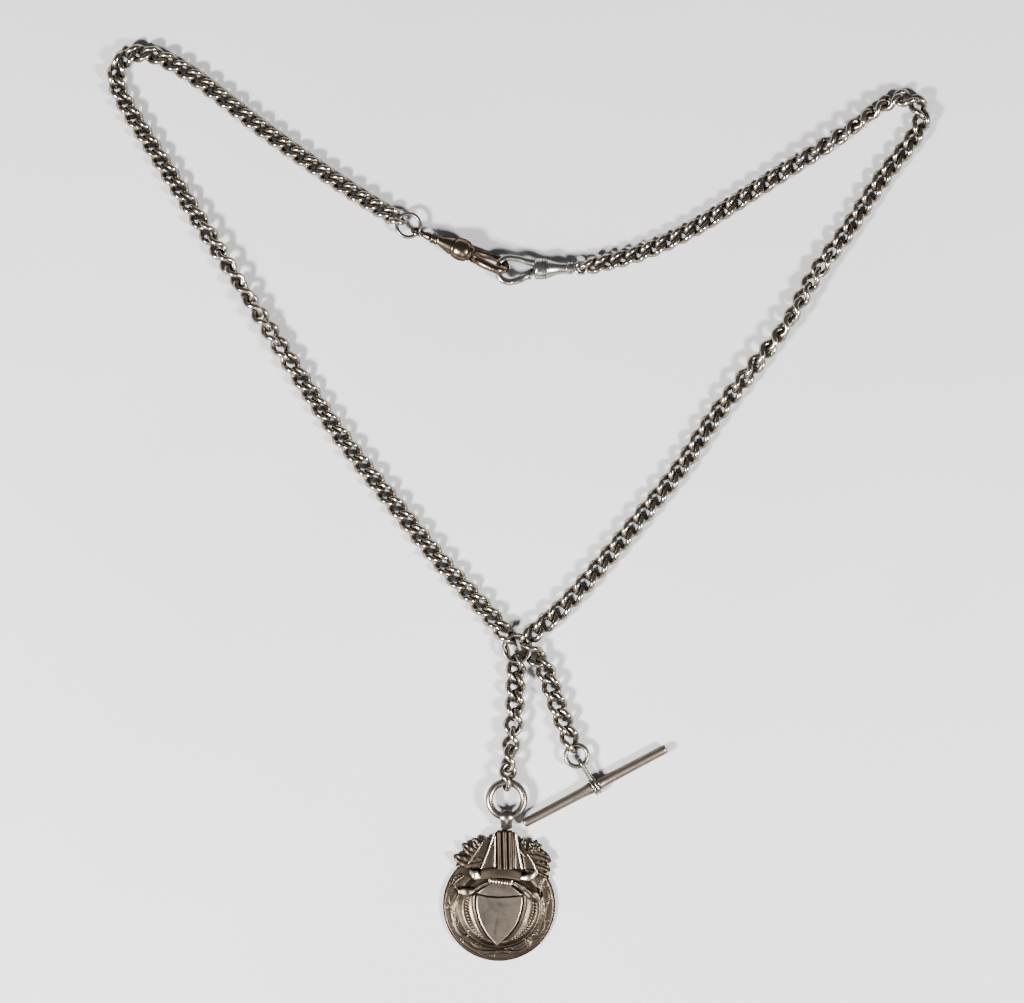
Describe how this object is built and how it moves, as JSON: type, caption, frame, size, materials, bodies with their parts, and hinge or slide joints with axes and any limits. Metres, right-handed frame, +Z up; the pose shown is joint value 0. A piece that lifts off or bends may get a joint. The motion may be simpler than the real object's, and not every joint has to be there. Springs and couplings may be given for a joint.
{
  "type": "pocket watch chain",
  "caption": "Waistcoat watch chain with two curb-link arms, hooked swivel clips, a toggle bar and a round fob medal on short drops.",
  "frame": {"origin": "centre of the bounding box's bottom face, on the surface that the chain lies on", "axes": "+Y from the fob medal towards the two clips, +X towards the right arm, +Z up from the surface"},
  "size_m": [0.1978, 0.22, 0.0066],
  "materials": {
    "junction_ring_metal": "tarnished hand-polished silver",
    "left_arm_stretch_1_metal": "tarnished hand-polished silver",
    "left_arm_stretch_2_metal": "tarnished hand-polished silver",
    "left_arm_stretch_3_metal": "tarnished hand-polished silver",
    "left_arm_stretch_4_metal": "tarnished hand-polished silver",
    "left_arm_stretch_5_metal": "tarnished hand-polished silver",
    "left_arm_stretch_6_metal": "tarnished hand-polished silver",
    "left_arm_stretch_7_metal": "tarnished hand-polished silver",
    "left_arm_stretch_8_metal": "tarnished hand-polished silver",
    "clip_jump_ring_metal": "tarnished hand-polished silver",
    "right_arm_stretch_1_metal": "tarnished hand-polished silver",
    "right_arm_stretch_2_metal": "tarnished hand-polished silver",
    "right_arm_stretch_3_metal": "tarnished hand-polished silver",
    "right_arm_stretch_4_metal": "tarnished hand-polished silver",
    "right_arm_stretch_5_metal": "tarnished hand-polished silver",
    "right_arm_stretch_6_metal": "tarnished hand-polished silver",
    "right_arm_stretch_7_metal": "tarnished hand-polished silver",
    "right_arm_stretch_8_metal": "tarnished hand-polished silver",
    "medal_drop_link_1_metal": "tarnished hand-polished silver",
    "medal_drop_link_2_metal": "tarnished hand-polished silver",
    "medal_drop_link_3_metal": "tarnished hand-polished silver",
    "medal_drop_link_4_metal": "tarnished hand-polished silver",
    "medal_drop_link_5_metal": "tarnished hand-polished silver",
    "medal_drop_link_6_metal": "tarnished hand-polished silver",
    "medal_drop_link_7_metal": "tarnished hand-polished silver",
    "fob_ring_metal": "tarnished hand-polished silver",
    "bar_drop_link_1_metal": "tarnished hand-polished silver",
    "bar_drop_link_2_metal": "tarnished hand-polished silver",
    "bar_drop_link_3_metal": "tarnished hand-polished silver",
    "bar_drop_link_4_metal": "tarnished hand-polished silver",
    "bar_drop_link_5_metal": "tarnished hand-polished silver",
    "bar_drop_link_6_metal": "tarnished hand-polished silver",
    "bar_jump_ring_metal": "tarnished hand-polished silver",
    "right_clip_swivel_eye_metal": "tarnished hand-polished silver",
    "right_clip_barrel_metal": "tarnished hand-polished silver",
    "right_clip_hook_metal": "tarnished hand-polished silver",
    "right_clip_gate_metal": "tarnished hand-polished silver",
    "right_clip_gate_pin_metal": "plain spring steel",
    "right_clip_gate_spring_metal": "plain spring steel",
    "left_clip_swivel_eye_metal": "tarnished hand-polished silver",
    "left_clip_barrel_metal": "tarnished hand-polished silver",
    "left_clip_hook_metal": "tarnished hand-polished silver",
    "left_clip_gate_metal": "tarnished hand-polished silver",
    "left_clip_gate_pin_metal": "plain spring steel",
    "left_clip_gate_spring_metal": "plain spring steel",
    "toggle_bar_metal": "tarnished hand-polished silver",
    "toggle_bar_loop_metal": "tarnished hand-polished silver",
    "medal_back_plate_metal": "tarnished hand-polished silver",
    "medal_rim_metal": "tarnished hand-polished silver",
    "medal_dome_metal": "tarnished hand-polished silver",
    "medal_shield_metal": "tarnished hand-polished silver",
    "medal_ribbon_banner_metal": "tarnished hand-polished silver",
    "medal_bead_bar_metal": "tarnished hand-polished silver",
    "medal_left_leaf_spray_metal": "tarnished hand-polished silver",
    "medal_right_leaf_spray_metal": "tarnished hand-polished silver",
    "medal_fluted_fan_metal": "tarnished hand-polished silver",
    "medal_bail_metal": "tarnished hand-polished silver"
  },
  "bodies": {
    "junction_ring": {"junction_ring": "junction_ring_metal"},
    "left_arm_stretch_1": {"left_arm_stretch_1": "left_arm_stretch_1_metal"},
    "left_arm_stretch_2": {"left_arm_stretch_2": "left_arm_stretch_2_metal"},
    "left_arm_stretch_3": {"left_arm_stretch_3": "left_arm_stretch_3_metal"},
    "left_arm_stretch_4": {"left_arm_stretch_4": "left_arm_stretch_4_metal"},
    "left_arm_stretch_5": {"left_arm_stretch_5": "left_arm_stretch_5_metal"},
    "left_arm_stretch_6": {"left_arm_stretch_6": "left_arm_stretch_6_metal"},
    "left_arm_stretch_7": {"left_arm_stretch_7": "left_arm_stretch_7_metal"},
    "left_arm_stretch_8": {"left_arm_stretch_8": "left_arm_stretch_8_metal"},
    "right_arm_stretch_1": {"right_arm_stretch_1": "right_arm_stretch_1_metal"},
    "right_arm_stretch_2": {"right_arm_stretch_2": "right_arm_stretch_2_metal"},
    "right_arm_stretch_3": {"right_arm_stretch_3": "right_arm_stretch_3_metal"},
    "right_arm_stretch_4": {"right_arm_stretch_4": "right_arm_stretch_4_metal"},
    "right_arm_stretch_5": {"right_arm_stretch_5": "right_arm_stretch_5_metal"},
    "right_arm_stretch_6": {"right_arm_stretch_6": "right_arm_stretch_6_metal"},
    "right_arm_stretch_7": {"right_arm_stretch_7": "right_arm_stretch_7_metal"},
    "right_arm_stretch_8": {"right_arm_stretch_8": "right_arm_stretch_8_metal"},
    "clip_jump_ring": {"clip_jump_ring": "clip_jump_ring_metal"},
    "left_clip_swivel_eye": {"left_clip_swivel_eye": "left_clip_swivel_eye_metal"},
    "left_clip_body": {"left_clip_barrel": "left_clip_barrel_metal", "left_clip_hook": "left_clip_hook_metal", "left_clip_gate_pin": "left_clip_gate_pin_metal", "left_clip_gate_spring": "left_clip_gate_spring_metal"},
    "left_clip_gate": {"left_clip_gate": "left_clip_gate_metal"},
    "right_clip_swivel_eye": {"right_clip_swivel_eye": "right_clip_swivel_eye_metal"},
    "right_clip_body": {"right_clip_barrel": "right_clip_barrel_metal", "right_clip_hook": "right_clip_hook_metal", "right_clip_gate_pin": "right_clip_gate_pin_metal", "right_clip_gate_spring": "right_clip_gate_spring_metal"},
    "right_clip_gate": {"right_clip_gate": "right_clip_gate_metal"},
    "medal_drop_link_1": {"medal_drop_link_1": "medal_drop_link_1_metal"},
    "medal_drop_link_2": {"medal_drop_link_2": "medal_drop_link_2_metal"},
    "medal_drop_link_3": {"medal_drop_link_3": "medal_drop_link_3_metal"},
    "medal_drop_link_4": {"medal_drop_link_4": "medal_drop_link_4_metal"},
    "medal_drop_link_5": {"medal_drop_link_5": "medal_drop_link_5_metal"},
    "medal_drop_link_6": {"medal_drop_link_6": "medal_drop_link_6_metal"},
    "medal_drop_link_7": {"medal_drop_link_7": "medal_drop_link_7_metal"},
    "fob_ring": {"fob_ring": "fob_ring_metal"},
    "fob_medal": {"medal_back_plate": "medal_back_plate_metal", "medal_rim": "medal_rim_metal", "medal_dome": "medal_dome_metal", "medal_shield": "medal_shield_metal", "medal_ribbon_banner": "medal_ribbon_banner_metal", "medal_bead_bar": "medal_bead_bar_metal", "medal_left_leaf_spray": "medal_left_leaf_spray_metal", "medal_right_leaf_spray": "medal_right_leaf_spray_metal", "medal_fluted_fan": "medal_fluted_fan_metal", "medal_bail": "medal_bail_metal"},
    "bar_drop_link_1": {"bar_drop_link_1": "bar_drop_link_1_metal"},
    "bar_drop_link_2": {"bar_drop_link_2": "bar_drop_link_2_metal"},
    "bar_drop_link_3": {"bar_drop_link_3": "bar_drop_link_3_metal"},
    "bar_drop_link_4": {"bar_drop_link_4": "bar_drop_link_4_metal"},
    "bar_drop_link_5": {"bar_drop_link_5": "bar_drop_link_5_metal"},
    "bar_drop_link_6": {"bar_drop_link_6": "bar_drop_link_6_metal"},
    "bar_jump_ring": {"bar_jump_ring": "bar_jump_ring_metal"},
    "toggle_bar_loop": {"toggle_bar_loop": "toggle_bar_loop_metal"},
    "toggle_bar": {"toggle_bar": "toggle_bar_metal"}
  },
  "joints": [
    {"name": "left_arm_swing", "type": "hinge", "parent": "junction_ring", "child": "left_arm_stretch_1", "pos_m": [-0.00044, -0.03496, 0.00236], "axis": [0, 0, 1], "range_deg": [-4, 6]},
    {"name": "right_arm_swing", "type": "hinge", "parent": "junction_ring", "child": "right_arm_stretch_1", "pos_m": [-0.00044, -0.03496, 0.00236], "axis": [0, 0, 1], "range_deg": [-4, 6]},
    {"name": "left_arm_fold_2", "type": "hinge", "parent": "left_arm_stretch_1", "child": "left_arm_stretch_2", "pos_m": [-0.02232, -0.00982, 0.0018], "axis": [0.9997, -0.024, 0], "range_deg": [0, 25]},
    {"name": "right_arm_fold_2", "type": "hinge", "parent": "right_arm_stretch_1", "child": "right_arm_stretch_2", "pos_m": [0.02314, -0.01091, 0.0018], "axis": [0.9997, -0.024, 0], "range_deg": [0, 25]},
    {"name": "left_arm_fold_3", "type": "hinge", "parent": "left_arm_stretch_2", "child": "left_arm_stretch_3", "pos_m": [-0.04121, 0.01386, 0.0018], "axis": [1, -0.0074, 0], "range_deg": [0, 25]},
    {"name": "right_arm_fold_3", "type": "hinge", "parent": "right_arm_stretch_2", "child": "right_arm_stretch_3", "pos_m": [0.04212, 0.01325, 0.0018], "axis": [1, -0.0074, 0], "range_deg": [0, 25]},
    {"name": "left_arm_fold_4", "type": "hinge", "parent": "left_arm_stretch_3", "child": "left_arm_stretch_4", "pos_m": [-0.05794, 0.03842, 0.00264], "axis": [1, -0.0089, 0.0007], "range_deg": [0, 20]},
    {"name": "right_arm_fold_4", "type": "hinge", "parent": "right_arm_stretch_3", "child": "right_arm_stretch_4", "pos_m": [0.06018, 0.03738, 0.00273], "axis": [1, -0.0089, 0.0007], "range_deg": [0, 20]},
    {"name": "left_lobe_fold", "type": "hinge", "parent": "left_arm_stretch_4", "child": "left_arm_stretch_5", "pos_m": [-0.0759, 0.06643, 0.00241], "axis": [0.5862, 0.8099, -0.0225], "range_deg": [0, 25]},
    {"name": "left_corner_fold", "type": "hinge", "parent": "left_arm_stretch_5", "child": "left_arm_stretch_6", "pos_m": [-0.08906, 0.08706, 0.0018], "axis": [0.3766, 0.9264, 0], "range_deg": [0, 20]},
    {"name": "left_corner_unfold", "type": "hinge", "parent": "left_arm_stretch_6", "child": "left_arm_stretch_7", "pos_m": [-0.08193, 0.10458, 0.0018], "axis": [0.3766, 0.9264, 0], "range_deg": [-20, 0]},
    {"name": "left_lobe_unfold", "type": "hinge", "parent": "left_arm_stretch_7", "child": "left_arm_stretch_8", "pos_m": [-0.05998, 0.08843, 0.0018], "axis": [0.5862, 0.8099, -0.0225], "range_deg": [-25, 0]},
    {"name": "right_lobe_fold", "type": "hinge", "parent": "right_arm_stretch_4", "child": "right_arm_stretch_5", "pos_m": [0.07647, 0.06201, 0.00218], "axis": [0.8941, -0.4476, 0.0151], "range_deg": [0, 25]},
    {"name": "right_corner_fold", "type": "hinge", "parent": "right_arm_stretch_5", "child": "right_arm_stretch_6", "pos_m": [0.09078, 0.08236, 0.0018], "axis": [0.9144, -0.3998, -0.0639], "range_deg": [0, 20]},
    {"name": "right_corner_unfold", "type": "hinge", "parent": "right_arm_stretch_6", "child": "right_arm_stretch_7", "pos_m": [0.07753, 0.08815, 0.00273], "axis": [0.9144, -0.3998, -0.0639], "range_deg": [-20, 0]},
    {"name": "right_lobe_unfold", "type": "hinge", "parent": "right_arm_stretch_7", "child": "right_arm_stretch_8", "pos_m": [0.05415, 0.07319, 0.0018], "axis": [0.8941, -0.4476, 0.0151], "range_deg": [-25, 0]},
    {"name": "clip_jump_ring_tilt", "type": "hinge", "parent": "left_arm_stretch_8", "child": "clip_jump_ring", "pos_m": [-0.02839, 0.06738, 0.00266], "axis": [0.8484, -0.5294, 0], "range_deg": [-3, 8]},
    {"name": "left_clip_eye_rock", "type": "hinge", "parent": "clip_jump_ring", "child": "left_clip_swivel_eye", "pos_m": [-0.02415, 0.06473, 0.00266], "axis": [0.8484, -0.5294, 0], "range_deg": [-8, 3]},
    {"name": "right_clip_eye_rock", "type": "hinge", "parent": "right_arm_stretch_8", "child": "right_clip_swivel_eye", "pos_m": [0.01486, 0.05614, 0.00261], "axis": [-0.9998, -0.018, 0], "range_deg": [-6, 0]},
    {"name": "left_clip_swivel", "type": "hinge", "parent": "left_clip_swivel_eye", "child": "left_clip_body", "pos_m": [-0.02116, 0.06354, 0.00278], "axis": [0.9258, -0.3768, 0.03], "range_deg": [-15, 0]},
    {"name": "right_clip_swivel", "type": "hinge", "parent": "right_clip_swivel_eye", "child": "right_clip_body", "pos_m": [0.01141, 0.05608, 0.00261], "axis": [-0.9998, -0.018, 0], "range_deg": [-12, 0]},
    {"name": "left_clip_gate_opening", "type": "hinge", "parent": "left_clip_body", "child": "left_clip_gate", "pos_m": [-0.01046, 0.05837, 0.00449], "axis": [-0.3163, -0.8156, -0.4846], "range_deg": [-26, 0], "stiffness_Nm_per_rad": 0.004, "springref_deg": 8.59},
    {"name": "right_clip_gate_opening", "type": "hinge", "parent": "right_clip_body", "child": "right_clip_gate", "pos_m": [0.00244, 0.05437, 0.00261], "axis": [0, 0, 1], "range_deg": [-26, 0], "stiffness_Nm_per_rad": 0.004, "springref_deg": 8.59},
    {"name": "medal_drop_lift_1", "type": "hinge", "parent": "junction_ring", "child": "medal_drop_link_1", "pos_m": [-0.00061, -0.03743, 0.00236], "axis": [-0.9995, 0.0313, 0], "range_deg": [0, 16]},
    {"name": "medal_drop_sway_2", "type": "hinge", "parent": "medal_drop_link_1", "child": "medal_drop_link_2", "pos_m": [-0.00075, -0.04178, 0.00211], "axis": [0, 0, -1], "range_deg": [0, 8]},
    {"name": "medal_drop_lift_3", "type": "hinge", "parent": "medal_drop_link_2", "child": "medal_drop_link_3", "pos_m": [-0.00089, -0.04614, 0.00191], "axis": [-0.9991, 0.0419, 0], "range_deg": [0, 16]},
    {"name": "medal_drop_sway_4", "type": "hinge", "parent": "medal_drop_link_3", "child": "medal_drop_link_4", "pos_m": [-0.00107, -0.05049, 0.00227], "axis": [0, 0, -1], "range_deg": [0, 8]},
    {"name": "medal_drop_lift_5", "type": "hinge", "parent": "medal_drop_link_4", "child": "medal_drop_link_5", "pos_m": [-0.00144, -0.05483, 0.0027], "axis": [-0.99, 0.141, 0], "range_deg": [0, 16]},
    {"name": "medal_drop_sway_6", "type": "hinge", "parent": "medal_drop_link_5", "child": "medal_drop_link_6", "pos_m": [-0.00206, -0.05915, 0.0027], "axis": [0, 0, -1], "range_deg": [0, 8]},
    {"name": "medal_drop_lift_7", "type": "hinge", "parent": "medal_drop_link_6", "child": "medal_drop_link_7", "pos_m": [-0.00257, -0.06347, 0.00273], "axis": [-0.9984, 0.0568, 0], "range_deg": [0, 16]},
    {"name": "fob_ring_lift", "type": "hinge", "parent": "medal_drop_link_7", "child": "fob_ring", "pos_m": [-0.00282, -0.06782, 0.00266], "axis": [-1, 0, 0], "range_deg": [0, 14]},
    {"name": "fob_medal_lift", "type": "hinge", "parent": "fob_ring", "child": "fob_medal", "pos_m": [-0.00294, -0.07531, 0.00266], "axis": [-1, 0, 0], "range_deg": [0, 75]},
    {"name": "bar_drop_lift_1", "type": "hinge", "parent": "junction_ring", "child": "bar_drop_link_1", "pos_m": [0.00203, -0.03513, 0.00236], "axis": [-0.6645, -0.7473, 0], "range_deg": [0, 16]},
    {"name": "bar_drop_sway_2", "type": "hinge", "parent": "bar_drop_link_1", "child": "bar_drop_link_2", "pos_m": [0.00535, -0.03808, 0.00239], "axis": [0, 0, 1], "range_deg": [0, 8]},
    {"name": "bar_drop_lift_3", "type": "hinge", "parent": "bar_drop_link_2", "child": "bar_drop_link_3", "pos_m": [0.0072, -0.04212, 0.00218], "axis": [-0.959, -0.2835, 0], "range_deg": [0, 16]},
    {"name": "bar_drop_sway_4", "type": "hinge", "parent": "bar_drop_link_3", "child": "bar_drop_link_4", "pos_m": [0.00846, -0.04638, 0.00199], "axis": [0, 0, 1], "range_deg": [0, 8]},
    {"name": "bar_drop_lift_5", "type": "hinge", "parent": "bar_drop_link_4", "child": "bar_drop_link_5", "pos_m": [0.00997, -0.05056, 0.0022], "axis": [-0.9347, -0.3554, 0], "range_deg": [0, 16]},
    {"name": "bar_drop_sway_6", "type": "hinge", "parent": "bar_drop_link_5", "child": "bar_drop_link_6", "pos_m": [0.01155, -0.05471, 0.00234], "axis": [0, 0, 1], "range_deg": [0, 8]},
    {"name": "bar_ring_lift", "type": "hinge", "parent": "bar_drop_link_6", "child": "bar_jump_ring", "pos_m": [0.01304, -0.05889, 0.00236], "axis": [-0.9063, -0.4226, 0], "range_deg": [0, 20]},
    {"name": "bar_loop_lift", "type": "hinge", "parent": "bar_jump_ring", "child": "toggle_bar_loop", "pos_m": [0.01521, -0.06289, 0.00236], "axis": [-0.8565, -0.5162, 0], "range_deg": [0, 25]},
    {"name": "toggle_bar_turn", "type": "hinge", "parent": "toggle_bar_loop", "child": "toggle_bar", "pos_m": [0.01826, -0.06796, 0.00181], "axis": [0.8846, 0.4664, 0], "continuous": true}
  ],
  "couplings": [
    {"joint": "right_arm_swing", "follows": "left_arm_swing", "ratio": 1},
    {"joint": "right_arm_fold_2", "follows": "left_arm_fold_2", "ratio": 1},
    {"joint": "right_arm_fold_3", "follows": "left_arm_fold_3", "ratio": 1},
    {"joint": "right_arm_fold_4", "follows": "left_arm_fold_4", "ratio": 1},
    {"joint": "left_lobe_unfold", "follows": "left_lobe_fold", "ratio": -1},
    {"joint": "left_corner_unfold", "follows": "left_corner_fold", "ratio": -1},
    {"joint": "right_lobe_unfold", "follows": "right_lobe_fold", "ratio": -1},
    {"joint": "right_corner_unfold", "follows": "right_corner_fold", "ratio": -1},
    {"joint": "left_clip_eye_rock", "follows": "clip_jump_ring_tilt", "ratio": -1}
  ]
}
